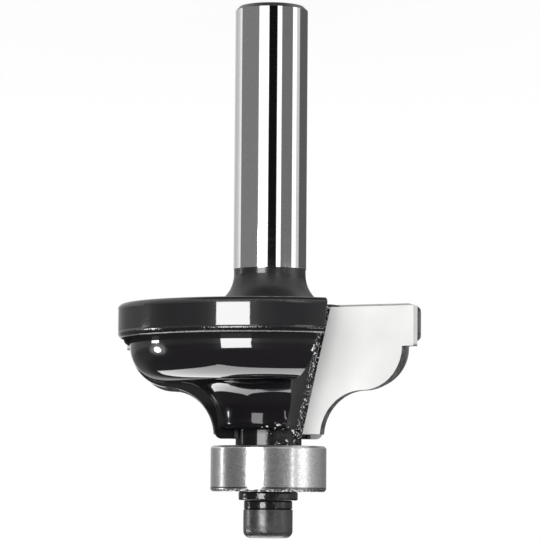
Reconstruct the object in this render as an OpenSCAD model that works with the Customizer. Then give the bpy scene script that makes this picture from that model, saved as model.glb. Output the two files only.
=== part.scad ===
// Router bit with a Roman ogee profile: a bead over a cove, two carbide-tipped wings
// and a ball-bearing guide held by a cap screw.
// Millimetres. The origin is the centre of the shank's end face, and +Z runs along the
// axis to the cutter and the screw. Both rake faces lie in the XZ plane, and the bit cuts
// turning counterclockwise as seen from +Z.

/* [Shank] */
// Diameter of the shank
shank_d = 8; // [6:0.1:9]
// Length of the polished shank, from its end face to the neck
shank_len = 29.1; // [20:0.1:60]
// Chamfer round the end of the shank
shank_chamfer = 0.45; // [0.2:0.05:0.9]
// How far the neck is turned below the shank, on the radius
neck_relief = 0.05; // [0.02:0.01:0.3]
// Length from the shank to the back face of the head
neck_len = 4; // [3.6:0.05:10]
// Fillet between the neck and the back face
neck_fillet = 3.35; // [1:0.05:3.6]

/* [Cutting profile] */
// Radius of the bead
bead_r = 4.7; // [3.6:0.1:7]
// Radius of the cove
cove_r = 5.1; // [3.6:0.1:7]
// Step from the bead out to the rim
rim_step = 1.35; // [1:0.05:3]
// Height of the straight rim
rim_h = 4.35; // [3.5:0.05:8]
// How far the tips stand back from the head's back face
tip_setback = 0.3; // [0.05:0.05:0.6]
// How far the tips stop short of the end of the cove
tip_short = 0.35; // [0.05:0.05:0.6]

/* [Head] */
// How far the turned steel lies inside the cutting profile
body_inset = 0.87; // [0.6:0.01:1.3]
// How far the pads behind the tips lie inside the cutting profile
pad_inset = 0.3; // [0.2:0.01:0.5]
// Angle that a pad takes up behind its tip
pad_sweep = 32; // [26:1:60]
// Shift of the axis that the rim of a pad is turned on
pad_shift_rim = 2.4; // [0.6:0.1:3]
// Shift of the axis that the bead of a pad is turned on
pad_shift_bead = 1.2; // [0.6:0.1:2]
// Shift of the axis that the cove of a pad is turned on
pad_shift_cove = 0.3; // [0.1:0.05:0.8]
// Rounding of the rim's two edges
rim_round = 0.6; // [0.2:0.05:0.8]
// Radius of the cove in the turned steel
turned_cove_r = 4.1; // [3.6:0.1:4.2]
// Steel of the pads beyond the end of the cove
nose_land = 0.15; // [0.05:0.05:0.2]
// How far the turned steel stops short of the pads' nose
nose_recess = 0.97; // [0.8:0.01:1]
// Rounding of the nose, on the turned steel and on the pads
nose_round = 0.75; // [0.3:0.05:0.8]

/* [Gullets] */
// Number of wings, each with its own gullet and tip
wings = 2; // [2:1:2]
// Radius of the gullets
gullet_r = 10; // [8:0.5:12]
// How far a gullet's centre lies ahead of the rake face
gullet_lead = 1.8; // [1:0.1:3]
// Distance from the axis to the gullet's root at the back face
web_back = 7.1; // [6:0.1:8.5]
// Distance from the axis to the gullet's root at the nose
web_nose = 3.54; // [3.2:0.02:4.2]

/* [Carbide tips] */
// Thickness of a tip
tip_t = 1.5; // [1:0.1:2.2]
// Flat of steel between the gullet's root and the tip
tip_land = 0.5; // [0.3:0.05:0.8]
// Clearance angle behind the cutting edge
tip_relief = 9; // [4:1:12]
// Thickness of the braze film round a tip's seat
braze_t = 0.05; // [0.02:0.01:0.1]

/* [Arbor] */
// Diameter of the shoulder that the bearing sits against
shoulder_d = 7.24; // [6.6:0.02:7.28]
// Height of the shoulder
shoulder_len = 0.77; // [0.4:0.01:3]
// Diametral clearance of the spigot in the bearing's bore
spigot_clearance = 0.02; // [0.01:0.005:0.05]
// How far the spigot ends short of the bearing's outer face
spigot_short = 0.25; // [0.1:0.05:0.6]
// How much deeper the tapped hole is than the screw
hole_spare = 1.5; // [0.5:0.1:3]
// Angle of the drill point at the bottom of the hole
drill_point = 118; // [90:1:140]

/* [Guide bearing] */
// Bore of the bearing
bearing_bore = 4.762; // [4.6:0.002:4.9]
// Outside diameter of the bearing
bearing_d = 12.7; // [12.6:0.02:14]
// Width of the bearing
bearing_w = 4.978; // [4.8:0.002:6]
// Corner chamfer of both rings
bearing_chamfer = 0.25; // [0.1:0.05:0.3]
// Corner chamfer of the inner ring's land
land_chamfer = 0.1; // [0.05:0.01:0.12]
// Number of balls
ball_count = 7; // [5:1:7]
// Diameter of a ball
ball_d = 2.381; // [2:0.001:2.4]
// Diameter of the circle through the balls' centres
ball_circle_d = 8.731; // [8.7:0.001:8.8]
// Clearance between a ball and its grooves
race_gap = 0.05; // [0.02:0.01:0.08]
// Outside diameter of the inner ring
inner_land_d = 7.3; // [7.3:0.01:7.4]
// Inside diameter of the outer ring
outer_land_d = 10.2; // [10.1:0.02:10.3]

/* [Bearing cage and shields] */
// Radial thickness of the cage
cage_t = 0.9; // [0.6:0.05:1]
// Clearance of a ball in its pocket
pocket_gap = 0.08; // [0.05:0.01:0.12]
// Web of the cage behind the pockets
cage_web = 0.3; // [0.2:0.05:0.32]
// Reach of the cage's claws past the balls' centres
claw_reach = 0.6; // [0.4:0.05:0.8]
// Thickness of a shield
shield_t = 0.2; // [0.12:0.02:0.24]
// Depth of a shield's outer face below the ring's face
shield_depth = 0.5; // [0.45:0.05:0.5]
// Running gap between a shield and the inner ring
shield_gap = 0.15; // [0.1:0.01:0.3]
// Radial width of the seat that holds a shield's rim
shield_seat = 0.25; // [0.15:0.05:0.35]
// Wire diameter of the snap rings
snap_wire_d = 0.36; // [0.24:0.02:0.4]
// Opening between the ends of a snap ring
snap_opening = 1.6; // [1:0.1:3]

/* [Screw and washers] */
// Thread diameter of the cap screw
screw_d = 3; // [2.6:0.1:3]
// Length of the screw under its head
screw_len = 8; // [6:0.5:9]
// Radial clearance of the thread in its hole
thread_clearance = 0.03; // [0.02:0.01:0.06]
// Diameter of the screw's head
head_d = 5.4; // [5:0.1:5.6]
// Height of the screw's head
head_h = 3.1; // [2.5:0.1:3.2]
// Rounding of the head's free edge
head_round = 0.8; // [0.2:0.05:0.9]
// Chamfer at the end of the thread
screw_end_chamfer = 0.3; // [0.1:0.05:0.5]
// Width across the flats of the hex socket
socket_w = 2.5; // [2:0.1:2.5]
// Depth of the hex socket
socket_depth = 1.3; // [1:0.1:1.6]
// Bevel round the mouth of the hex socket
socket_bevel = 0.25; // [0.2:0.05:0.3]
// Outside diameter of the flat washer
washer_d = 6.5; // [6:0.1:7]
// Thickness of the flat washer
washer_t = 0.95; // [0.5:0.05:1.2]
// Outside diameter of the spring washer
spring_washer_d = 5.3; // [5:0.1:5.6]
// Thickness of the spring washer
spring_washer_t = 1; // [0.6:0.05:1.2]
// Split in the spring washer
split_w = 0.3; // [0.2:0.05:0.6]
// Slant of the split from the axis
split_slant = 22; // [10:1:30]
// Radial clearance of both washers on the screw
washer_clearance = 0.1; // [0.05:0.01:0.2]
// Rounding of the washers' edges
washer_round = 0.2; // [0.1:0.05:0.25]

/* [Hidden] */
$fn = 96;
// Smallest overlap, so that no two shapes share a face before they are joined or cut
eps = 0.01;
// How far a cut runs past a face, or a joined piece runs into its neighbour
over = 1;

shank_r = shank_d / 2;
neck_r = shank_r - neck_relief;
pilot_r = bearing_d / 2;
bead_axis_r = pilot_r + cove_r;
rim_r = bead_axis_r + bead_r + rim_step;

back_z = shank_len + neck_len;
tip_back_z = back_z + tip_setback;
ledge_z = tip_back_z + rim_h;
bead_top_z = ledge_z + bead_r;
cove_end_z = bead_top_z + cove_r;
tip_end_z = cove_end_z - tip_short;
nose_z = cove_end_z + nose_land;
turned_nose_z = nose_z - nose_recess;
seat_z = nose_z + shoulder_len;
bearing_mid_z = seat_z + bearing_w / 2;
bearing_end_z = seat_z + bearing_w;
spring_washer_z = bearing_end_z + washer_t;
screw_seat_z = spring_washer_z + spring_washer_t;
screw_tip_z = screw_seat_z - screw_len;

// The root line leans in from the back face to the nose, and the tips' inner edges follow it
web_lean = atan((web_back - web_nose) / (nose_z - back_z));

ball_r = ball_d / 2;
ball_circle_r = ball_circle_d / 2;
groove_r = ball_r + race_gap;
pocket_r = ball_r + pocket_gap;
washer_bore_r = screw_d / 2 + washer_clearance;
shield_rim_r = outer_land_d / 2 + shield_seat;
shield_floor = bearing_w / 2 - shield_depth - shield_t;
snap_axis_r = shield_rim_r;
snap_mid = bearing_w / 2 - shield_depth + snap_wire_d / 2;

// Distance from the axis to the gullet's root at height z
function web_at(z) = web_back - (z - back_z) * tan(web_lean);

// What rounding takes off a corner that points to +X +Y and lies at the origin
module corner_waste(r, spare = eps) {
    difference() {
        translate([-r, -r]) square([r + spare, r + eps]);
        translate([-r, -r]) circle(r = r);
    }
}

// Half section of the rim, from the axis out to radius r, with both outer edges rounded
module rim_section(r, low_z, high_z, rounding) {
    difference() {
        translate([0, low_z]) square([r, high_z - low_z]);
        if (rounding > 0) {
            translate([r, high_z]) corner_waste(rounding);
            translate([r, low_z]) mirror([0, 1]) corner_waste(rounding);
        }
    }
}

// Half section of the bead and cove, inset from the cutting profile, out to radius reach
module ogee_section(inset, low_z, high_z, reach = rim_r) {
    bead = bead_r - inset;
    cove = cove_r + inset;
    intersection() {
        translate([0, low_z]) square([reach, high_z - low_z]);
        union() {
            translate([0, low_z]) square([bead_axis_r + bead, ledge_z - low_z]);
            translate([0, low_z]) square([bead_axis_r, ledge_z + bead - low_z]);
            translate([bead_axis_r, ledge_z]) circle(r = bead);
            difference() {
                translate([0, low_z]) square([bead_axis_r, high_z - low_z]);
                translate([bead_axis_r, cove_end_z]) circle(r = cove);
                translate([bead_axis_r - cove, cove_end_z]) square([cove + eps, high_z]);
            }
        }
    }
}

// Half section of a pad, inset from the cutting profile, its nose rounded into the cove
module pad_section(reach = rim_r) {
    cove = cove_r + pad_inset;
    round_z = nose_z - nose_round;
    round_r = bead_axis_r - sqrt(pow(cove + nose_round, 2) - pow(cove_end_z - round_z, 2));
    difference() {
        union() {
            rim_section(min(rim_r - pad_inset, reach), back_z, ledge_z - pad_inset, rim_round);
            ogee_section(pad_inset, back_z, nose_z, reach);
        }
        difference() {
            polygon([[round_r, round_z], [bead_axis_r, cove_end_z],
                     [bead_axis_r, nose_z + eps], [round_r, nose_z + eps]]);
            translate([round_r, round_z]) circle(r = nose_round);
        }
    }
}

// Half section of the turned steel: rim, bead, a cove of its own, and the hub in the nose
module turned_section() {
    bead = bead_r - body_inset;
    wall_r = pilot_r - body_inset;
    bead_end_z = ledge_z + bead;
    cove_axis_r = wall_r + turned_cove_r;
    rim_section(rim_r - body_inset, back_z, ledge_z - body_inset, rim_round);
    translate([0, back_z]) square([bead_axis_r + bead, ledge_z - back_z]);
    translate([0, back_z]) square([bead_axis_r, bead_end_z - back_z]);
    translate([bead_axis_r, ledge_z]) circle(r = bead);
    translate([0, back_z]) square([shoulder_d / 2, nose_z - back_z]);
    difference() {
        translate([0, back_z]) square([cove_axis_r, turned_nose_z - back_z]);
        translate([cove_axis_r, bead_end_z + turned_cove_r]) circle(r = turned_cove_r);
        translate([wall_r, bead_end_z + turned_cove_r]) square([turned_cove_r + eps, cove_r]);
        translate([wall_r, turned_nose_z]) corner_waste(nose_round, turned_cove_r);
    }
}

// Outline of one tip in the plane of its rake face
module tip_outline() {
    low_z = tip_back_z - over;
    high_z = tip_end_z + over;
    difference() {
        union() {
            rim_section(rim_r, tip_back_z, ledge_z, 0);
            ogee_section(0, tip_back_z, tip_end_z);
        }
        polygon([[-over, low_z], [web_at(low_z) + tip_land, low_z],
                 [web_at(high_z) + tip_land, high_z], [-over, high_z]]);
    }
}

// Stands a flat outline up in the XZ plane, from y = lead back to y = lead - depth
module stand_up(depth, lead = 0) {
    translate([0, lead, 0]) rotate([90, 0, 0]) linear_extrude(depth) children();
}

// Turned steel of the head with the raised pad behind each tip
module head_steel() {
    rotate_extrude() turned_section();
    for (i = [1:wings]) rotate([0, 0, i * 360 / wings]) wing_pad();
}

// Pad behind the tip on the +X side, backed off by turning it on a shifted axis
module wing_pad() {
    far = 2 * rim_r;
    intersection() {
        union() {
            translate([0, pad_shift_rim, 0]) rotate_extrude() pad_section();
            translate([0, pad_shift_bead, 0]) rotate_extrude() pad_section(bead_axis_r + bead_r);
            translate([0, pad_shift_cove, 0]) rotate_extrude() pad_section(bead_axis_r);
        }
        translate([0, 0, back_z]) linear_extrude(nose_z - back_z)
            polygon([[0, 0], [far, 0], [far, -far * tan(pad_sweep)]]);
    }
}

// Round gullet in front of the tip on the +X side, cut off by the plane of the rake face
module gullet() {
    head_len = nose_z - back_z;
    intersection() {
        translate([web_back + gullet_r / cos(web_lean), gullet_lead, back_z])
            rotate([0, -web_lean, 0])
                translate([0, 0, -head_len]) cylinder(h = 3 * head_len, r = gullet_r);
        translate([0, 0, back_z - over]) cube([3 * rim_r, 3 * rim_r, head_len + over]);
    }
}

// Seat for the tip on the +X side, open at the rake face, the rim, the back and the nose
module tip_seat() {
    low_z = back_z - over;
    high_z = nose_z + eps;
    land = tip_land - braze_t;
    stand_up(tip_t + braze_t + over, over)
        polygon([[web_at(low_z) + land, low_z], [2 * rim_r, low_z],
                 [2 * rim_r, high_z], [web_at(high_z) + land, high_z]]);
}

// Tapped hole for the cap screw, up the axis of the spigot
module tapped_hole() {
    hole_r = screw_d / 2 + thread_clearance;
    floor_z = screw_tip_z - hole_spare;
    point_h = hole_r / tan(drill_point / 2);
    translate([0, 0, floor_z]) cylinder(h = bearing_end_z - floor_z, r = hole_r);
    translate([0, 0, floor_z - point_h]) cylinder(h = point_h + eps, r1 = eps, r2 = hole_r);
}

// Polished shank, necked down and faired into the back of the head
module shank() {
    fillet_z = back_z - neck_fillet;
    rotate_extrude() {
        polygon([[0, 0], [shank_r - shank_chamfer, 0], [shank_r, shank_chamfer],
                 [shank_r, shank_len], [neck_r, shank_len + neck_relief],
                 [neck_r, back_z + over], [0, back_z + over]]);
        difference() {
            translate([0, fillet_z]) square([neck_r + neck_fillet, neck_fillet + over]);
            translate([neck_r + neck_fillet, fillet_z]) circle(r = neck_fillet);
        }
    }
}

// Shoulder that the bearing sits against, and the spigot through its bore
module arbor() {
    spigot_r = (bearing_bore - spigot_clearance) / 2;
    spigot_end_z = bearing_end_z - spigot_short;
    translate([0, 0, nose_z - eps]) cylinder(h = shoulder_len + eps, d = shoulder_d);
    translate([0, 0, nose_z - over]) cylinder(h = spigot_end_z - nose_z + over, r = spigot_r);
}

module tool_body() {
    color("#29282c") difference() {
        union() {
            difference() {
                union() {
                    shank();
                    head_steel();
                }
                for (i = [1:wings]) rotate([0, 0, i * 360 / wings]) {
                    gullet();
                    tip_seat();
                }
            }
            arbor();
        }
        tapped_hole();
    }
}

// Carbide tip: its flat outline, leaned back behind the cutting edge for clearance
module carbide_tip(i) {
    leaned_rim = bead_axis_r + (rim_r - bead_axis_r) * cos(tip_relief);
    color("#d9d9d6") rotate([0, 0, i * 360 / wings]) intersection() {
        stand_up(tip_t) tip_outline();
        translate([bead_axis_r, 0, 0]) rotate([0, 0, -tip_relief])
            translate([-bead_axis_r, 0, 0]) stand_up(2 * bead_axis_r, bead_axis_r)
                union() {
                    rim_section(leaned_rim, tip_back_z, ledge_z, 0);
                    ogee_section(0, tip_back_z, tip_end_z);
                }
    }
}

// Half section of a bearing ring between two radii, with its four corners chamfered
module ring_section(inner_r, outer_r, inner_cut, outer_cut) {
    half = bearing_w / 2;
    polygon([[inner_r + inner_cut, -half], [outer_r - outer_cut, -half],
             [outer_r, outer_cut - half], [outer_r, half - outer_cut],
             [outer_r - outer_cut, half], [inner_r + inner_cut, half],
             [inner_r, half - inner_cut], [inner_r, inner_cut - half]]);
}

// Puts a piece in the middle of the bearing's width
module in_bearing() {
    translate([0, 0, bearing_mid_z]) children();
}

module bearing_outer_ring() {
    half = bearing_w / 2;
    color("#c9cacb") in_bearing() rotate_extrude() difference() {
        ring_section(outer_land_d / 2, pilot_r, eps, bearing_chamfer);
        translate([ball_circle_r, 0]) circle(r = groove_r);
        for (side = [-1, 1]) {
            translate([0, side * (half + shield_floor) / 2])
                square([2 * shield_rim_r, half - shield_floor + eps], center = true);
            translate([snap_axis_r, side * snap_mid]) circle(d = snap_wire_d + 2 * eps);
        }
    }
}

module bearing_inner_ring() {
    color("#c9cacb") in_bearing() rotate_extrude() difference() {
        ring_section(bearing_bore / 2, inner_land_d / 2, bearing_chamfer, land_chamfer);
        translate([ball_circle_r, 0]) circle(r = groove_r);
    }
}

module bearing_ball(i) {
    color("#e2e3e4") in_bearing() rotate([0, 0, i * 360 / ball_count])
        translate([ball_circle_r, 0, 0]) sphere(r = ball_r);
}

// Crown cage: a moulded ring with one open pocket for each ball
module bearing_cage() {
    back = pocket_r + cage_web;
    color("#d8cfae") in_bearing() difference() {
        translate([0, 0, -back]) difference() {
            cylinder(h = back + claw_reach, r = ball_circle_r + cage_t / 2);
            translate([0, 0, -over])
                cylinder(h = back + claw_reach + 2 * over, r = ball_circle_r - cage_t / 2);
        }
        for (i = [1:ball_count]) rotate([0, 0, i * 360 / ball_count])
            translate([ball_circle_r, 0, 0]) sphere(r = pocket_r);
    }
}

// Shield on one side of the bearing, sprung into the seat in the outer ring
module shield(side) {
    bore_r = inner_land_d / 2 + shield_gap;
    color("#b9bbbd") in_bearing() translate([0, 0, side * (shield_floor + shield_t / 2)])
        difference() {
            cylinder(h = shield_t, r = shield_rim_r - eps, center = true);
            cylinder(h = shield_t + over, r = bore_r, center = true);
        }
}

// Open wire ring that holds a shield in its seat
module snap_ring(side) {
    color("#a9abad") in_bearing() translate([0, 0, side * snap_mid]) difference() {
        rotate_extrude() translate([snap_axis_r, 0]) circle(d = snap_wire_d, $fn = 32);
        translate([snap_axis_r, 0, 0])
            cube([3 * snap_wire_d, snap_opening, 2 * snap_wire_d], center = true);
    }
}

// Half section of a washer that lies on z = 0, with its outer edges rounded
module washer_section(outer_r, thickness) {
    difference() {
        translate([washer_bore_r, 0]) square([outer_r - washer_bore_r, thickness]);
        translate([outer_r, thickness]) corner_waste(washer_round);
        translate([outer_r, 0]) mirror([0, 1]) corner_waste(washer_round);
    }
}

module flat_washer() {
    color("#1d1d1f") translate([0, 0, bearing_end_z])
        rotate_extrude() washer_section(washer_d / 2, washer_t);
}

module spring_washer() {
    color("#1d1d1f") translate([0, 0, spring_washer_z]) difference() {
        rotate_extrude() washer_section(spring_washer_d / 2, spring_washer_t);
        translate([0, spring_washer_d / 2, spring_washer_t / 2]) rotate([0, -split_slant, 0])
            cube([split_w, spring_washer_d - screw_d, 4 * spring_washer_t], center = true);
    }
}

// Socket cap screw, its head on the spring washer and its thread down in the spigot
module cap_screw() {
    thread_r = screw_d / 2;
    head_r = head_d / 2;
    socket_r = socket_w / 2 / cos(30);
    top_z = screw_seat_z + head_h;
    color("#3c3d3f") difference() {
        union() {
            translate([0, 0, screw_tip_z + screw_end_chamfer])
                cylinder(h = screw_len - screw_end_chamfer + eps, r = thread_r);
            translate([0, 0, screw_tip_z])
                cylinder(h = screw_end_chamfer, r1 = thread_r - screw_end_chamfer, r2 = thread_r);
            translate([0, 0, screw_seat_z]) rotate_extrude() difference() {
                square([head_r, head_h]);
                translate([head_r, head_h]) corner_waste(head_round);
            }
        }
        translate([0, 0, top_z - socket_depth])
            cylinder(h = socket_depth + over, r = socket_r, $fn = 6);
        translate([0, 0, top_z - socket_bevel])
            cylinder(h = socket_bevel + eps, r1 = socket_w / 2, r2 = socket_w / 2 + socket_bevel + eps);
    }
}

tool_body();
for (i = [1:wings]) carbide_tip(i);
bearing_outer_ring();
bearing_inner_ring();
for (i = [1:ball_count]) bearing_ball(i);
bearing_cage();
shield(-1);  // shield_cutter_side
shield(1);  // shield_screw_side
snap_ring(-1);  // snap_ring_cutter_side
snap_ring(1);  // snap_ring_screw_side
flat_washer();
spring_washer();
cap_screw();
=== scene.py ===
import bpy
import math
from mathutils import Matrix, Vector

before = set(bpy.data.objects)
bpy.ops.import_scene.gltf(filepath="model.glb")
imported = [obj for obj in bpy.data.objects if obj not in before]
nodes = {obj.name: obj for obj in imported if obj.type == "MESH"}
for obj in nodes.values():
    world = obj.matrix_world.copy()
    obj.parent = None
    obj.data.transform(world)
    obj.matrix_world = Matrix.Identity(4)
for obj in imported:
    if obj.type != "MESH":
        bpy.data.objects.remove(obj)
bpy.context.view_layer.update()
mm = 0.001
print("frame loaded,", len(nodes), "nodes")

# The camera that took the picture: the bit stood on its shank and the picture was turned over
shot = {
    "azimuth": -28.34,
    "elevation": 4.335,
    "roll": 180.435,
    "aimHeight": 29.143 * mm,
    "aimRight": 0.018 * mm,
    "distance": 324.13 * mm,
    "focal": 2948.1,  # in pixels of the picture
    "picture": 540,
    "sensor": 36.0,
    "clipStart": 10 * mm,
}


def makeCamera():
    az, el, roll = (math.radians(shot[k]) for k in ("azimuth", "elevation", "roll"))
    level = Vector((math.cos(az), math.sin(az), 0))
    back = Vector((math.sin(az) * math.cos(el), -math.cos(az) * math.cos(el), math.sin(el)))
    over = back.cross(level)
    right = level * math.cos(roll) + over * math.sin(roll)
    up = over * math.cos(roll) - level * math.sin(roll)
    data = bpy.data.cameras.new("camera")
    data.sensor_width = shot["sensor"]
    data.lens = shot["focal"] * shot["sensor"] / shot["picture"]
    data.clip_start = shot["clipStart"]
    cam = bpy.data.objects.new("camera", data)
    bpy.context.scene.collection.objects.link(cam)
    aim = Vector((0, 0, shot["aimHeight"])) + right * shot["aimRight"]
    cam.matrix_world = Matrix((right, up, back)).transposed().to_4x4()
    cam.location = aim + back * shot["distance"]
    bpy.context.scene.camera = cam
    return right, back


camRight, camBack = makeCamera()
rightWay = Vector((camRight.x, camRight.y, 0)).normalized()
awayWay = Vector((-camBack.x, -camBack.y, 0)).normalized()
print("camera placed")


# Nodes shared by the studio and the finishes
def addNode(tree, kind, values=None, links=None, **settings):
    node = tree.nodes.new(kind)
    for key, value in settings.items():
        setattr(node, key, value)
    for key, value in (values or {}).items():
        node.inputs[key].default_value = value
    for key, socket in (links or {}).items():
        tree.links.new(socket, node.inputs[key])
    return node


def doMath(tree, operation, a, b=None):
    node = tree.nodes.new("ShaderNodeMath")
    node.operation = operation
    for i, value in enumerate((a, b)):
        if value is None:
            continue
        if isinstance(value, (int, float)):
            node.inputs[i].default_value = value
        else:
            tree.links.new(value, node.inputs[i])
    return node.outputs[0]


def times(tree, first, *others):
    for other in others:
        first = doMath(tree, "MULTIPLY", first, other)
    return first


# How far value lies from middle, either way
def offset(tree, value, middle):
    return doMath(tree, "ABSOLUTE", doMath(tree, "SUBTRACT", value, middle))


def parts(tree, vector):
    return addNode(tree, "ShaderNodeSeparateXYZ", links={0: vector}).outputs


def fade(tree, value, start, end, low=0, high=1):
    node = addNode(tree, "ShaderNodeMapRange",
                   {"From Min": start, "From Max": end, "To Min": low, "To Max": high},
                   {"Value": value}, interpolation_type="SMOOTHSTEP")
    return node.outputs["Result"]


def mixColour(tree, share, a, b):
    node = addNode(tree, "ShaderNodeMix", data_type="RGBA")
    sockets = [node.inputs["Factor"]] + [s for s in node.inputs if s.type == "RGBA"]
    for socket, value in zip(sockets, (share, a, b)):
        if isinstance(value, bpy.types.NodeSocket):
            tree.links.new(value, socket)
        else:
            socket.default_value = value
    return [s for s in node.outputs if s.type == "RGBA"][0]


def grey(level):
    return (level, level, level, 1)


# Darker and lighter versions of a colour
def shades(colour, *amounts):
    return [(*(c * amount for c in colour), 1) for amount in amounts]


# Directions round the bit are in degrees as the picture shows them:
# 0 to its right, 90 behind the bit, -90 towards the camera, and elevation up from the floor.
# A matt lamp lights matt surfaces and leaves no reflection, and the others do the opposite.
lamps = {
    "key": {"azimuth": -117, "elevation": 5.25, "wide": 25.5, "high": 23.5, "glow": 10.6},
    "edge": {"azimuth": 164.6, "elevation": 9.5, "wide": 8, "high": 10, "glow": 22, "round": True},
    "edgeLow": {"azimuth": 165.1, "elevation": -0.44, "wide": 1.7, "high": 0.98, "glow": 8},
    "streak": {"azimuth": 163.5, "elevation": -2.8, "wide": 10, "high": 1.2, "glow": 12},
    "strip": {"azimuth": -52.3, "elevation": 14.5, "wide": 2.4, "high": 19, "glow": 12},
    "fill": {"azimuth": -75, "elevation": 12, "wide": 70, "high": 50, "glow": 1.5, "matt": True},
}
lampMiddle = 40 * mm  # the height that all lamps are aimed at
lampFar = 0.6
# A panel over the bit. Its lengths count in its height over the lamps' middle, and its front left
# corner is given as how far right and how far away
ceiling = {
    "height": 0.5, "frontLeft": (-0.51, -0.12), "turn": 12.7, "deep": 1.76, "wide": 1.3,
    "glow": 3.2,
}

# Brightness of the studio round the bit, level with the head and just below it: (azimuth, level)
surroundHead = [
    (-180, 0.2), (-168, 0.17), (-146, 0.2), (-137, 0.3), (-131, 0.6), (-103, 0.6), (-96, 0.3),
    (-84, 0.2), (-66, 0.19), (-54, 0.28), (-47, 0.45), (-43.6, 0.8), (-42.5, 1.9), (-40, 1.9),
    (-38.5, 0.8), (-31, 0.9), (-24, 1.5), (-12, 1.5), (-6, 1), (2, 0.62), (15, 0.42), (50, 0.22),
    (75, 0.26), (89, 0.3), (91, 1.2), (100, 1.1), (107, 0.45), (130, 0.27), (150, 0.3), (165, 0.4),
    (172, 0.26), (180, 0.2),
]
surroundShank = [
    (-180, 0.2), (-130, 0.2), (-128, 1.4), (-98, 1.4), (-97, 0.006), (-71, 0.006), (-70, 1.4),
    (-57, 1.4), (-56, 0.165), (-18, 0.165), (-17, 1.3), (-3, 1.3), (0, 0.65), (12, 0.6),
    (14, 0.105), (84, 0.105), (96, 0.7), (130, 0.5), (147, 0.64), (155, 0.85), (161, 0.95),
    (163, 0.2), (180, 0.2),
]
# Each pair of elevations is where a change begins and ends
studio = {
    "split": (-4.05, -4.25),  # the head's surround lies above it and the shank's below
    "headDims": (0, 6), "headDim": 0.45, "headEnds": (16, 26), "darkAbove": 0.07,
    "haloAt": (164.6, 9.5), "haloReach": 15, "haloGlow": 1.6,  # soft light round the edge lamp
    "floorHazes": (-11, -14), "floorHaze": 0.45, "floorFills": (-28, -50), "floorLevel": 0.8,
    "footDims": (-50, -62), "footLevel": 0.1,
    "softLight": 0.95,  # what the surround gives to matt surfaces
}


def way(azimuth, elevation):
    az, el = math.radians(azimuth), math.radians(elevation)
    level = rightWay * math.cos(az) + awayWay * math.sin(az)
    return level * math.cos(el) + Vector((0, 0, math.sin(el)))


def addLamp(name, place, aim, wide, high, s):
    data = bpy.data.lights.new(name, "AREA")
    data.shape = "ELLIPSE" if "round" in s else "RECTANGLE"
    data.size = wide
    data.size_y = high
    data.energy = math.pi * wide * high * s["glow"]
    lamp = bpy.data.objects.new(name, data)
    bpy.context.scene.collection.objects.link(lamp)
    lamp.location = place
    lamp.rotation_euler = aim
    lamp.visible_camera = False
    lamp.visible_glossy = "matt" not in s
    lamp.visible_diffuse = "matt" in s


def lightStudio():
    middle = Vector((0, 0, lampMiddle))
    for name, s in lamps.items():
        out = way(s["azimuth"], s["elevation"])
        wide, high = (2 * lampFar * math.tan(math.radians(s[k] / 2)) for k in ("wide", "high"))
        aim = out.to_track_quat("Z", "Y").to_euler()
        addLamp(name, middle + out * lampFar, aim, wide, high, s)
    h, turn = ceiling["height"], math.radians(ceiling["turn"])
    across = rightWay * math.cos(turn) + awayWay * math.sin(turn)
    deep = awayWay * math.cos(turn) - rightWay * math.sin(turn)
    corner = rightWay * ceiling["frontLeft"][0] + awayWay * ceiling["frontLeft"][1]
    place = (corner + deep * ceiling["deep"] / 2 + across * ceiling["wide"] / 2) * h
    aim = Matrix((across, deep, Vector((0, 0, 1)))).transposed().to_euler()
    addLamp("ceiling", middle + place + Vector((0, 0, h)), aim,
            ceiling["wide"] * h, ceiling["deep"] * h, ceiling)


def ringRamp(tree, turn, levels):
    ramp = addNode(tree, "ShaderNodeValToRGB", links={"Fac": turn})
    stops = ramp.color_ramp.elements
    stops[0].position, stops[1].position = 0, 1
    for azimuth, level in levels[1:-1]:
        stops.new((azimuth + 180) / 360)
    for stop, (azimuth, level) in zip(stops, levels):
        stop.color = grey(level)
    return ramp.outputs["Color"]


def along(tree, direction, axis):
    node = addNode(tree, "ShaderNodeVectorMath", {1: axis}, {0: direction},
                   operation="DOT_PRODUCT")
    return node.outputs["Value"]


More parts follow.
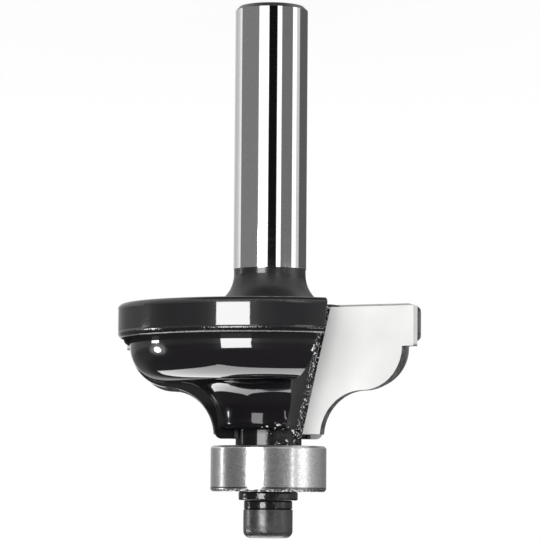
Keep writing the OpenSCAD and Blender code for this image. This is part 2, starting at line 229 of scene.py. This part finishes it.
def makeWorld():
    world = bpy.data.worlds.new("studio")
    bpy.context.scene.world = world
    world.use_nodes = True
    tree = world.node_tree
    direction = addNode(tree, "ShaderNodeTexCoord").outputs["Generated"]
    across, away = (along(tree, direction, axis) for axis in (rightWay, awayWay))
    angle = doMath(tree, "ARCTAN2", away, across)
    turn = doMath(tree, "ADD", doMath(tree, "DIVIDE", angle, 2 * math.pi), 0.5)
    height = parts(tree, direction)["Z"]
    elevation = doMath(tree, "DEGREES", doMath(tree, "ARCSINE", height))

    dim = fade(tree, elevation, *studio["headDims"], 1, studio["headDim"])
    head = mixColour(tree, dim, grey(0), ringRamp(tree, turn, surroundHead))
    above = fade(tree, elevation, *studio["headEnds"])
    head = mixColour(tree, above, head, grey(studio["darkAbove"]))
    halo = along(tree, direction, way(*studio["haloAt"]))
    halo = fade(tree, halo, math.cos(math.radians(studio["haloReach"])), 1)
    head = mixColour(tree, doMath(tree, "POWER", halo, 2), head, grey(studio["haloGlow"]))

    haze = fade(tree, elevation, *studio["floorHazes"], 0, studio["floorHaze"])
    full = fade(tree, elevation, *studio["floorFills"], 0, 1 - studio["floorHaze"])
    floor = doMath(tree, "ADD", haze, full)
    ring = ringRamp(tree, turn, surroundShank)
    shank = mixColour(tree, floor, ring, grey(studio["floorLevel"]))
    foot = fade(tree, elevation, *studio["footDims"])
    shank = mixColour(tree, foot, shank, grey(studio["footLevel"]))

    whole = mixColour(tree, fade(tree, elevation, *studio["split"]), head, shank)
    path = addNode(tree, "ShaderNodeLightPath").outputs
    whole = mixColour(tree, path["Is Diffuse Ray"], whole, grey(studio["softLight"]))
    seen = mixColour(tree, path["Is Camera Ray"], whole, grey(1))
    tree.links.new(seen, tree.nodes["Background"].inputs["Color"])


# To the camera the floor glows plain white, and less so near the bit, where its shadow shows
whiteFloor = {
    "radius": 1.5, "sides": 96, "colour": 0.8, "near": 15 * mm, "far": 120 * mm,
    "share": (0.92, 1),
}


def makeFloor(s):
    bpy.ops.mesh.primitive_circle_add(vertices=s["sides"], radius=s["radius"], fill_type="NGON")
    floor = bpy.context.object
    floor.name = "floor"
    mat = bpy.data.materials.new("whiteFloor")
    mat.use_nodes = True
    tree = mat.node_tree
    shader = tree.nodes["Principled BSDF"]
    shader.inputs["Base Color"].default_value = grey(s["colour"])
    shader.inputs["Roughness"].default_value = 1
    shader.inputs["Specular IOR Level"].default_value = 0
    glow = addNode(tree, "ShaderNodeEmission", {"Strength": 1})
    place = addNode(tree, "ShaderNodeTexCoord").outputs["Object"]
    far = addNode(tree, "ShaderNodeVectorMath", links={0: place}, operation="LENGTH")
    share = fade(tree, far.outputs["Value"], s["near"], s["far"], *s["share"])
    path = addNode(tree, "ShaderNodeLightPath").outputs
    both = addNode(tree, "ShaderNodeMixShader",
                   links={0: times(tree, path["Is Camera Ray"], share),
                          1: shader.outputs[0], 2: glow.outputs[0]})
    tree.links.new(both.outputs[0], tree.nodes["Material Output"].inputs["Surface"])
    floor.data.materials.append(mat)
    floor.visible_glossy = False
    floor.visible_shadow = False


lightStudio()
makeWorld()
makeFloor(whiteFloor)
print("studio lit")


def newFinish(name, s):
    mat = bpy.data.materials.new(name)
    mat.use_nodes = True
    tree = mat.node_tree
    shader = tree.nodes["Principled BSDF"]
    shader.inputs["Base Color"].default_value = (*s["colour"], 1)
    shader.inputs["Metallic"].default_value = s["metallic"]
    shader.inputs["Roughness"].default_value = s["roughness"]
    shader.inputs["Specular IOR Level"].default_value = s.get("specular", 0.5)
    place = addNode(tree, "ShaderNodeTexCoord").outputs["Object"]
    return mat, tree, shader, stretch(tree, place, (1 / mm, 1 / mm, 1 / mm))


def stretch(tree, place, amounts):
    node = addNode(tree, "ShaderNodeVectorMath", {1: amounts}, {0: place}, operation="MULTIPLY")
    return node.outputs["Vector"]


# Place on an unrolled turned surface: length round it, radius and height
def unroll(tree, place, radius):
    x, y, z = parts(tree, place)
    turn = times(tree, doMath(tree, "ARCTAN2", y, x), radius)
    far = doMath(tree, "SQRT", doMath(tree, "ADD", times(tree, x, x), times(tree, y, y)))
    return addNode(tree, "ShaderNodeCombineXYZ", links={0: turn, 1: far, 2: z}).outputs["Vector"]


def grain(tree, place, size, detail=2, roughness=0.5):
    node = addNode(tree, "ShaderNodeTexNoise",
                   {"Scale": 1 / size, "Detail": detail, "Roughness": roughness},
                   {"Vector": place})
    return node.outputs["Fac"]


# depth is the height of the relief in millimetres
def relief(tree, height, depth, normal=None):
    node = addNode(tree, "ShaderNodeBump", {"Strength": 1, "Distance": depth * mm},
                   {"Height": height})
    if normal:
        tree.links.new(normal, node.inputs["Normal"])
    return node.outputs["Normal"]


def softEdges(tree, radius):
    return addNode(tree, "ShaderNodeBevel", {"Radius": radius * mm}, samples=4).outputs["Normal"]


# The gullets as the maker ground them, so that paint can follow their roots, in millimetres
gullet = {
    "radius": 10, "lead": 1.8, "webBack": 7.1, "webNose": 3.54, "backZ": 33.1, "noseZ": 47.7,
    "slack": 0.03,  # how far a point on the gullet's wall may lie off it
}
gulletRise = gullet["noseZ"] - gullet["backZ"]
gulletLean = math.atan((gullet["webBack"] - gullet["webNose"]) / gulletRise)


# How far a place lies out from the axis, ahead of the rake face, up, and out from the root
def wingPlace(tree, place):
    x, y, z = parts(tree, place)
    out = doMath(tree, "ABSOLUTE", x)
    ahead = times(tree, doMath(tree, "SIGN", x), y)
    height = doMath(tree, "SUBTRACT", z, gullet["backZ"])
    web = doMath(tree, "SUBTRACT", gullet["webBack"], times(tree, height, math.tan(gulletLean)))
    return out, ahead, z, doMath(tree, "SUBTRACT", out, web)


# Where the grinding wheel took the paint off the pad: on the rim just behind each tip, and in
# the thin steps past the tip's back and nose edges. In each pair the bare steel lies past the
# second number.
groundSteps = {
    "behind": (-2.6, -2.4), "ahead": (0.2, 0),
    "rimOut": (15.2, 15.6), "rimZ": (38, 37.8),
    "backOut": (7.6, 8), "backZ": (33.75, 33.55),
    "noseOut": (4.2, 4.5), "noseZ": (46.95, 47.15),
}


def groundLand(tree, place, s):
    out, ahead, z, _ = wingPlace(tree, place)
    near = times(tree, fade(tree, ahead, *s["behind"]), fade(tree, ahead, *s["ahead"]))
    rim, back, nose = (times(tree, fade(tree, out, *s[k + "Out"]), fade(tree, z, *s[k + "Z"]))
                       for k in ("rim", "back", "nose"))
    ends = doMath(tree, "MAXIMUM", back, nose)
    return times(tree, near, doMath(tree, "MAXIMUM", rim, ends))


# Rough runs along the gullet's root beside each tip and round the nose. Bright specks along the
# root and bright drops round the nose are painted glints
runsAndGlints = {
    "colour": (0.85, 0.85, 0.86), "depth": 0.06,
    "rootHalf": (0.55, 0.35), "rootAhead": 0.35, "aheadHalf": (0.65, 0.3),
    "noseZ": (45.9, 46.6), "noseOut": (1.2, 1.8), "noseAhead": (-0.3, 0.2),
    "glintSpecks": (0.56, 0.64), "glintDrops": (0.66, 0.7), "dropSize": 2.2, "dropSquash": 1.8,
}


def roughenRoot(tree, place, size, normal, shader, colour):
    out, ahead, z, off = wingPlace(tree, place)
    root = times(tree, fade(tree, doMath(tree, "ABSOLUTE", off), *runsAndGlints["rootHalf"]),
                 fade(tree, offset(tree, ahead, runsAndGlints["rootAhead"]), *runsAndGlints["aheadHalf"]))
    nose = times(tree, fade(tree, z, *runsAndGlints["noseZ"]), fade(tree, out, *runsAndGlints["noseOut"]),
                 fade(tree, ahead, *runsAndGlints["noseAhead"]))
    lumps = grain(tree, place, size, 3, 0.6)
    squashed = stretch(tree, place, (1, 1, runsAndGlints["dropSquash"]))
    glintDrops = grain(tree, squashed, runsAndGlints["dropSize"] * size, 1)
    # Painted glints: bright specks along the root and bright drops round the nose
    glintSpecks = times(tree, fade(tree, lumps, *runsAndGlints["glintSpecks"]), root)
    glintDrops = times(tree, fade(tree, glintDrops, *runsAndGlints["glintDrops"]), nose)
    glintSpecks = doMath(tree, "MAXIMUM", glintSpecks, glintDrops)
    colour = mixColour(tree, glintSpecks, colour, (*runsAndGlints["colour"], 1))
    tree.links.new(colour, shader.inputs["Base Color"])
    rough = times(tree, lumps, doMath(tree, "MAXIMUM", root, nose))
    return relief(tree, rough, runsAndGlints["depth"], normal)


# The corner under the rim loses its coat and takes a flat dull colour, a painted shade; the coat
# is turned down on the cove and the hub, and the paint sags a little along the rim's lip
lacquer = {
    "colour": (0.0075, 0.0065, 0.0078), "metallic": 0, "roughness": 0.4, "specular": 0,
    "coatRoughness": 0.025, "coatIor": 1.8, "edge": 0.13, "bare": (0.55, 0.55, 0.55),
    "cornerZ": 37.15, "cornerHalf": (0.28, 0.35), "cornerCoat": 0.02,
    "cornerShadeColour": (0.017, 0.0165, 0.0175),
    "coveZ": (43.4, 44.4), "coveCoat": 0.24, "hubZ": (46.9, 47.3), "hubCoat": 0.42,
    "peelSize": 1.6, "peelDepth": 0.002, "speckSize": 0.15, "speckDepth": 0.0003,
    "lipZ": 36.55, "lipHalf": (0.45, 0.2), "lipSize": 0.35, "lipDepth": 0.045, "runSize": 0.3,
}


def makeLacquer(s):
    mat, tree, shader, place = newFinish("blackLacquer", s)
    shader.inputs["Coat Roughness"].default_value = s["coatRoughness"]
    shader.inputs["Coat IOR"].default_value = s["coatIor"]
    z = parts(tree, place)["Z"]
    # Painted shade: the corner under the rim loses its coat and takes a flat dull colour
    clear = fade(tree, offset(tree, z, s["cornerZ"]), *s["cornerHalf"])
    bare = groundLand(tree, place, groundSteps)
    coat = fade(tree, clear, 0, 1, s["cornerCoat"], 1)
    cove = fade(tree, z, *s["coveZ"], 1, s["coveCoat"])
    hub = fade(tree, z, *s["hubZ"], 0, s["hubCoat"] - s["coveCoat"])
    coat = times(tree, coat, doMath(tree, "ADD", cove, hub), doMath(tree, "SUBTRACT", 1, bare))
    tree.links.new(coat, shader.inputs["Coat Weight"])
    colour = mixColour(tree, clear, (*s["cornerShadeColour"], 1), (*s["colour"], 1))
    colour = mixColour(tree, bare, colour, (*s["bare"], 1))
    soft = softEdges(tree, s["edge"])
    peel = relief(tree, grain(tree, place, s["peelSize"], 1), s["peelDepth"], soft)
    dust = relief(tree, grain(tree, place, s["speckSize"], 2), s["speckDepth"], peel)
    wet = roughenRoot(tree, place, s["runSize"], dust, shader, colour)
    lip = fade(tree, offset(tree, z, s["lipZ"]), *s["lipHalf"])
    lip = times(tree, grain(tree, place, s["lipSize"], 3, 0.6), lip)
    wet = relief(tree, lip, s["lipDepth"], wet)
    tree.links.new(wet, shader.inputs["Coat Normal"])
    tree.links.new(wet, shader.inputs["Normal"])
    return mat


# Thin satin paint, glossier where it runs out on the shank
satin = {
    "colour": (0.018, 0.0175, 0.0185), "metallic": 0, "roughness": 0.36, "specular": 0.65,
    "edge": 0.12, "grainSize": 0.22, "grainDepth": 0.004, "runSize": 0.22,
    "patchSize": 2.5, "patchRough": 0.08, "patchShades": (0.8, 1.25),
    "runOutZ": (29.9, 30.6), "runOut": 0.5,
}
gulletPaint = dict(satin, specular=0.2, roughness=0.5)


def makeSatin(name, s):
    mat, tree, shader, place = newFinish(name, s)
    fine = relief(tree, grain(tree, place, s["grainSize"], 3), s["grainDepth"],
                  softEdges(tree, s["edge"]))
    patch = grain(tree, place, s["patchSize"], 2)
    rough, spread = s["roughness"], s["patchRough"]
    rough = fade(tree, patch, 0.2, 0.8, rough - spread, rough + spread)
    runOut = fade(tree, parts(tree, place)["Z"], *s["runOutZ"], s["runOut"], 1)
    tree.links.new(times(tree, rough, runOut), shader.inputs["Roughness"])
    colour = mixColour(tree, patch, *shades(s["colour"], *s["patchShades"]))
    normal = roughenRoot(tree, place, s["runSize"], fine, shader, colour)
    tree.links.new(normal, shader.inputs["Normal"])
    return mat


shankSteel = {
    "colour": (0.93, 0.93, 0.925), "metallic": 1, "roughness": 0.035, "radius": 4,
    "lineSize": 0.05, "lineDepth": 0.00002, "waveSize": 3, "waveDepth": 0.0006,
    "wearAndShadeSize": 0.6, "wearRough": 0.02, "grainSize": 0.12, "grainShades": (0.9, 1.06),
}
shankCorner = {"colour": (0.2, 0.2, 0.2), "metallic": 1, "roughness": 0.42}


def makePolished(name, s):
    mat, tree, shader, place = newFinish(name, s)
    around = unroll(tree, place, s["radius"])
    lines = grain(tree, stretch(tree, around, (0.02, 1, 1)), s["lineSize"], 2)
    fine = relief(tree, lines, s["lineDepth"])
    waves = grain(tree, stretch(tree, around, (1, 1, 0.25)), s["waveSize"], 1)
    tree.links.new(relief(tree, waves, s["waveDepth"], fine), shader.inputs["Normal"])
    wearAndShade = grain(tree, stretch(tree, around, (0.15, 1, 1)), s["wearAndShadeSize"], 3)
    rough = fade(tree, wearAndShade, 0.4, 0.9, s["roughness"], s["roughness"] + s["wearRough"])
    tree.links.new(rough, shader.inputs["Roughness"])
    speck = fade(tree, grain(tree, place, s["grainSize"], 2), 0.3, 0.7)
    colour = mixColour(tree, speck, *shades(s["colour"], *s["grainShades"]))
    tree.links.new(colour, shader.inputs["Base Color"])
    return mat


# Each shade of the rake face gives two distances and the brightness at both: painted shade
# along the root and towards the rim, and a painted sheen in a band across the face
carbide = {
    "colour": (0.95, 0.945, 0.935), "metallic": 0, "roughness": 0.55, "specular": 0.35,
    "edge": 0.05, "slant": 35, "lineSize": 0.06, "lineDepth": 0.0012, "lineRough": 0.05,
    "rootPaintedShade": (0, 2.6, 0.74, 1.03), "rimPaintedShade": (5, 9.5, 1, 0.82),
    "sheenWay": (0.8, 0.6), "sheenAt": 34.6, "paintedSheenLevels": (0.4, 2.5, 1.03, 0.97),
    "cloudSize": 4, "cloudShade": (0.2, 0.8, 0.97, 1.03),
}
# The flanks and backs keep their bright colour behind the rim's edge, and carry a patchy painted
# shade on the bead and the cove
relievedCarbide = dict(
    carbide, colour=(0.6, 0.6, 0.595), specular=0.1, roughness=0.35,
    paintedShadeZ=(37.4, 37.8), paintedShadeLevel=0.06, paintedShadeSize=0.5, paintedShadeCloud=(0.3, 0.7, 0.85, 1),
)


def makeCarbide(name, s):
    mat, tree, shader, place = newFinish(name, s)
    turned = addNode(tree, "ShaderNodeVectorRotate", {"Angle": math.radians(s["slant"])},
                     {"Vector": place}, rotation_type="Y_AXIS").outputs["Vector"]
    lines = grain(tree, stretch(tree, turned, (0.03, 0.03, 1)), s["lineSize"], 3)
    rough, spread = s["roughness"], s["lineRough"]
    rough = fade(tree, lines, 0.3, 0.7, rough - spread, rough + spread)
    tree.links.new(rough, shader.inputs["Roughness"])
    return mat, tree, shader, place, lines


# The ground rake face, with painted shade along the root beside the braze and towards the rim,
# and a broad painted sheen across it
def makeRakeFace(s):
    mat, tree, shader, place, lines = makeCarbide("groundCarbide", s)
    ground = relief(tree, lines, s["lineDepth"], softEdges(tree, s["edge"]))
    tree.links.new(ground, shader.inputs["Normal"])
    out, _, z, off = wingPlace(tree, place)
    # Painted shade along the root and towards the rim, and a painted sheen in a slanted band
    paintedFaceShade = times(tree, fade(tree, off, *s["rootPaintedShade"]), fade(tree, off, *s["rimPaintedShade"]))
    across, up = s["sheenWay"]
    slanted = doMath(tree, "ADD", times(tree, out, across), times(tree, z, up))
    paintedFaceSheen = fade(tree, offset(tree, slanted, s["sheenAt"]), *s["paintedSheenLevels"])
    cloud = fade(tree, grain(tree, place, s["cloudSize"], 2), *s["cloudShade"])
    tint = addNode(tree, "ShaderNodeVectorMath", {0: s["colour"]},
                   {"Scale": times(tree, paintedFaceShade, paintedFaceSheen, cloud)}, operation="SCALE")
    tree.links.new(tint.outputs["Vector"], shader.inputs["Base Color"])
    return mat


def makeFlank(s):
    mat, tree, shader, place, _ = makeCarbide("relievedCarbide", s)
    cloud = fade(tree, grain(tree, place, s["paintedShadeSize"], 3), *s["paintedShadeCloud"])
    # Patchy painted shade on the bead and the cove
    paintedFlankShade = times(tree, cloud, fade(tree, parts(tree, place)["Z"], *s["paintedShadeZ"]))
    colour = mixColour(tree, paintedFlankShade, *shades(s["colour"], 1, s["paintedShadeLevel"]))
    tree.links.new(colour, shader.inputs["Base Color"])
    return mat


ringSteel = {
    "colour": (0.74, 0.74, 0.745), "metallic": 1, "roughness": 0.14, "anisotropy": 0.3,
    "radius": 6.35, "edge": 0.06, "lineSize": 0.05, "lineDepth": 0.0004, "lineRough": (-0.04, 0.05),
    "fleckSize": 0.15, "fleckDepth": 0.004, "fleckShades": (0.8, 1.2),
    "faceColour": (0.36, 0.36, 0.365), "faceUp": (0.8, 0.95), "faceRough": 0.25,
}
# The turned corners of the outer ring are duller than its ground wall and carry painted light: in
# mottled patches a painted highlight on the corner towards the head and painted shade on the
# corner towards the screw, and a painted dark line of shade on the wall near the screw side
outerRing = dict(
    ringSteel, edge=0.2, lowZ=48.47, highZ=53.448, wallRadius=(5.9, 6.05),
    cornerHigh=(0.34, 0.2), cornerRough=0.2, cornerShadeDark=(0.03, 0.03, 0.03), cornerHighlight=0.9,
    wearAndShadeSize=0.25, wearAndShade=(0.56, 0.5, 0.4, 1),
    rimLine=0.4, rimHalf=(0.11, 0.05), rimShare=0.8,
)
shieldSteel = dict(ringSteel, colour=(0.3, 0.3, 0.305), faceColour=(0.26, 0.26, 0.265),
                   roughness=0.3, radius=4.5)
springWire = dict(ringSteel, colour=(0.2, 0.2, 0.21), faceColour=(0.16, 0.16, 0.17),
                  roughness=0.3, radius=5.3)
ballSteel = dict(shankSteel, colour=(0.85, 0.85, 0.86), roughness=0.05, radius=1.2)


# Painted highlight on the head-side corner, painted shade on the screw-side corner, both in mottled
# patches, and a painted dark line of shade on the wall near the screw side
def paintCornerLightAndShade(tree, around, s, base):
    _, far, z = parts(tree, around)
    wall = fade(tree, far, *s["wallRadius"])
    middle, half = (s["lowZ"] + s["highZ"]) / 2, (s["highZ"] - s["lowZ"]) / 2
    start, end = (half - high for high in s["cornerHigh"])
    cornerMask = times(tree, fade(tree, offset(tree, z, middle), start, end), wall)
    wearAndShade = times(tree, cornerMask, fade(tree, grain(tree, around, s["wearAndShadeSize"], 3), *s["wearAndShade"]))
    dark = (*s["cornerShadeDark"], 1)
    low = fade(tree, z, middle - 1, middle + 1)
    base = mixColour(tree, wearAndShade, base, mixColour(tree, low, grey(s["cornerHighlight"]), dark))
    rim = fade(tree, offset(tree, z, s["highZ"] - s["rimLine"]), *s["rimHalf"], 0, s["rimShare"])
    return mixColour(tree, times(tree, rim, wall), base, dark), cornerMask


def makeRingSteel(name, s):
    mat, tree, shader, place = newFinish(name, s)
    shader.inputs["Anisotropic"].default_value = s["anisotropy"]
    tangent = addNode(tree, "ShaderNodeTangent", direction_type="RADIAL", axis="Z")
    tree.links.new(tangent.outputs[0], shader.inputs["Tangent"])
    around = unroll(tree, place, s["radius"])
    lines = grain(tree, stretch(tree, around, (0.05, 1, 1)), s["lineSize"], 2)
    fine = relief(tree, lines, s["lineDepth"], softEdges(tree, s["edge"]))
    flecks = grain(tree, stretch(tree, around, (1, 1, 0.6)), s["fleckSize"], 3)
    tree.links.new(relief(tree, flecks, s["fleckDepth"], fine), shader.inputs["Normal"])
    rough = fade(tree, lines, 0.3, 0.7, *(s["roughness"] + more for more in s["lineRough"]))
    speck = fade(tree, grain(tree, around, s["fleckSize"], 3, 0.7), 0.25, 0.75)
    base = mixColour(tree, speck, *shades(s["colour"], *s["fleckShades"]))
    normal = addNode(tree, "ShaderNodeNewGeometry").outputs["True Normal"]
    end = fade(tree, doMath(tree, "ABSOLUTE", parts(tree, normal)["Z"]), *s["faceUp"])
    base = mixColour(tree, end, base, (*s["faceColour"], 1))
    rough = doMath(tree, "ADD", rough, times(tree, end, s["faceRough"]))
    if "lowZ" in s:
        base, cornerMask = paintCornerLightAndShade(tree, around, s, base)
        rough = doMath(tree, "ADD", rough, times(tree, cornerMask, s["cornerRough"]))
    tree.links.new(base, shader.inputs["Base Color"])
    tree.links.new(rough, shader.inputs["Roughness"])
    return mat


blackOxide = {
    "colour": (0.006, 0.006, 0.0065), "metallic": 0, "roughness": 0.1, "specular": 0.6,
    "edge": 0.1, "grainSize": 0.45, "grainDepth": 0.04, "fineSize": 0.12, "fineDepth": 0.003,
    "patchSize": 0.5, "patchRough": (0.75, 1.25), "patchShades": (0.7, 1.4),
}
# The screw's rounded end is pitted
screwOxide = dict(
    blackOxide, colour=(0.028, 0.028, 0.029), roughness=0.3, specular=0.75,
    grainSize=0.2, grainDepth=0.006, fineSize=0.08, fineDepth=0.002,
    pitZ=(57.098, 57.598), pitSize=0.3, pitDepth=0.06,
)


def makeOxide(name, s):
    mat, tree, shader, place = newFinish(name, s)
    coarse = relief(tree, grain(tree, place, s["grainSize"], 2), s["grainDepth"],
                    softEdges(tree, s["edge"]))
    fine = relief(tree, grain(tree, place, s["fineSize"], 2), s["fineDepth"], coarse)
    if "pitZ" in s:
        end = fade(tree, parts(tree, place)["Z"], *s["pitZ"])
        pits = times(tree, grain(tree, place, s["pitSize"], 3), end)
        fine = relief(tree, pits, s["pitDepth"], fine)
    tree.links.new(fine, shader.inputs["Normal"])
    patch = grain(tree, place, s["patchSize"], 3)
    rough = fade(tree, patch, 0.3, 0.7, *(s["roughness"] * amount for amount in s["patchRough"]))
    tree.links.new(rough, shader.inputs["Roughness"])
    colour = mixColour(tree, patch, *shades(s["colour"], *s["patchShades"]))
    tree.links.new(colour, shader.inputs["Base Color"])
    return mat


cage = {
    "colour": (0.55, 0.46, 0.3), "metallic": 0, "roughness": 0.5,
    "grainSize": 0.12, "grainDepth": 0.004, "patchSize": 0.9, "patchShades": (0.85, 1.1),
}


def makeCagePlastic(s):
    mat, tree, shader, place = newFinish("cagePlastic", s)
    fine = relief(tree, grain(tree, place, s["grainSize"], 3), s["grainDepth"])
    tree.links.new(fine, shader.inputs["Normal"])
    patch = grain(tree, place, s["patchSize"], 2)
    colour = mixColour(tree, patch, *shades(s["colour"], *s["patchShades"]))
    tree.links.new(colour, shader.inputs["Base Color"])
    return mat


def paint(node, *finishes):
    mesh = nodes[node].data
    mesh.materials.clear()
    for mat in finishes:
        mesh.materials.append(mat)
    return mesh


# How far a point lies from the axis of the gullet beside it, in millimetres
def gulletRadius(p):
    side = 1 if p.x > 0 else -1
    out = side * p.x / mm - gullet["webBack"] - gullet["radius"] / math.cos(gulletLean)
    ahead = side * p.y / mm - gullet["lead"]
    height = p.z / mm - gullet["backZ"]
    return math.hypot(out * math.cos(gulletLean) + height * math.sin(gulletLean), ahead)


# Heights on the tool body where one finish gives way to the next, in millimetres
finishZ = {"end": 0.01, "corner": 1.5, "shank": 29.12, "neckLow": 33.09, "neckHigh": 33.11}


# Polished shank, satin paint on the neck and in the gullets, and lacquer on the rest
def dressBody(s):
    body = paint("tool_body", makeLacquer(lacquer), makePolished("polishedShank", shankSteel),
                 makeSatin("satinPaint", satin), newFinish("shankCorner", shankCorner)[0],
                 makeSatin("gulletPaint", gulletPaint))
    counts = [0, 0, 0, 0, 0]
    for face in body.polygons:
        points = [body.vertices[i].co for i in face.vertices]
        low, high = (pick(p.z for p in points) / mm for pick in (min, max))
        if high < s["shank"]:
            face.material_index = 3 if s["end"] < high < s["corner"] else 1
        elif low < s["neckLow"] and high < s["neckHigh"]:
            face.material_index = 2
        elif all(abs(gulletRadius(p) - gullet["radius"]) < gullet["slack"] for p in points):
            face.material_index = 4
        counts[face.material_index] += 1
    for name, count in zip(("lacquer", "polished", "neck", "corner", "gullets"), counts):
        print("tool body,", name, count, "faces")


# The rake face of tip 1 looks along -Y and that of tip 2 along +Y; the rest is relieved
def dressTips():
    rake, flank = makeRakeFace(carbide), makeFlank(relievedCarbide)
    for name, facing in (("carbide_tip_1", -1), ("carbide_tip_2", 1)):
        for face in paint(name, rake, flank).polygons:
            face.material_index = 0 if face.normal.y * facing > 0.99 else 1


dressBody(finishZ)
dressTips()
paint("bearing_outer_ring", makeRingSteel("bearingOuterRing", outerRing))
paint("bearing_inner_ring", makeRingSteel("bearingInnerRing", ringSteel))
shield = makeRingSteel("shieldSteel", shieldSteel)
wire = makeRingSteel("springWire", springWire)
for side in ("cutter_side", "screw_side"):
    paint("shield_" + side, shield)
    paint("snap_ring_" + side, wire)
ball = makePolished("bearingBall", ballSteel)
for name in nodes:
    if name.startswith("bearing_ball"):
        paint(name, ball)
paint("bearing_cage", makeCagePlastic(cage))
washer = makeOxide("washerOxide", blackOxide)
paint("flat_washer", washer)
paint("spring_washer", washer)
paint("cap_screw", makeOxide("screwOxide", screwOxide))
print("pieces finished")

bpy.context.scene.view_settings.view_transform = "Standard"
print("finished")
